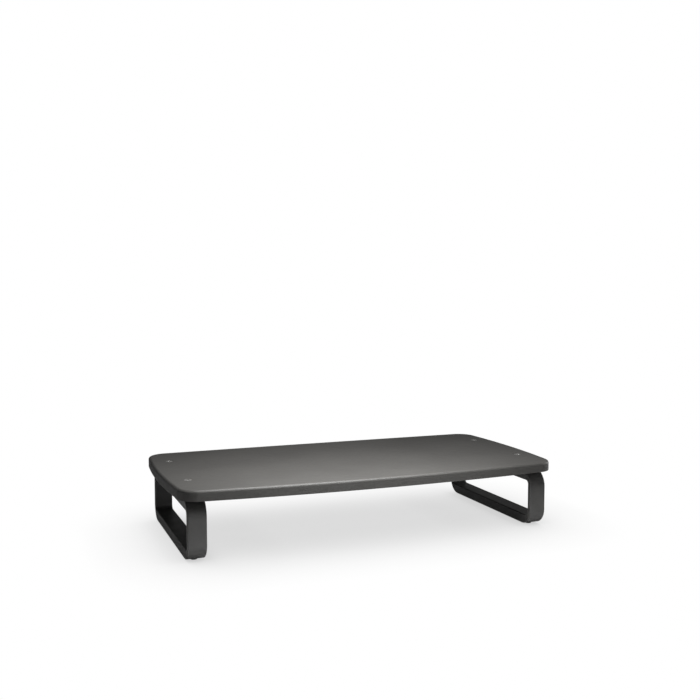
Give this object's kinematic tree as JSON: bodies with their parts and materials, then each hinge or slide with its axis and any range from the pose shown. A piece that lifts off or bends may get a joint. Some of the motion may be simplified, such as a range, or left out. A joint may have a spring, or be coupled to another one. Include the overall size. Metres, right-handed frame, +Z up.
{
  "type": "monitor riser stand",
  "caption": "Fixed-height desk riser: a wide bow-fronted board carried on closed hollow steel loop legs, screwed through from the top.",
  "frame": {"origin": "on the floor under the middle of the board's plan", "axes": "+X along the width, to the right seen from the front; +Y to the rear, so -Y is the bowed front edge; +Z up"},
  "size_m": [0.61, 0.313, 0.1062],
  "materials": {
    "charcoal_foil": "satin charcoal vinyl foil with a very fine texture",
    "fibreboard": "raw medium-density fibreboard",
    "backing_sheet": "matt black backing paper",
    "coated_steel": "satin black powder coat",
    "plated_steel": "zinc plated",
    "black_oxide_steel": "black oxide",
    "rubber": "matt black rubber",
    "foam_strip": "matt black foam"
  },
  "bodies": {
    "root": {"board_foil": "charcoal_foil", "board_core": "fibreboard", "board_backing": "backing_sheet", "leg_loop_left": "coated_steel", "leg_loop_right": "coated_steel", "board_screw_left_front": "black_oxide_steel", "leg_pad_left_front": "foam_strip", "weld_nut_left_front": "plated_steel", "rubber_foot_left_front": "rubber", "board_screw_left_rear": "black_oxide_steel", "leg_pad_left_rear": "foam_strip", "weld_nut_left_rear": "plated_steel", "rubber_foot_left_rear": "rubber", "board_screw_right_front": "black_oxide_steel", "leg_pad_right_front": "foam_strip", "weld_nut_right_front": "plated_steel", "rubber_foot_right_front": "rubber", "board_screw_right_rear": "black_oxide_steel", "leg_pad_right_rear": "foam_strip", "weld_nut_right_rear": "plated_steel", "rubber_foot_right_rear": "rubber"}
  },
  "joints": []
}
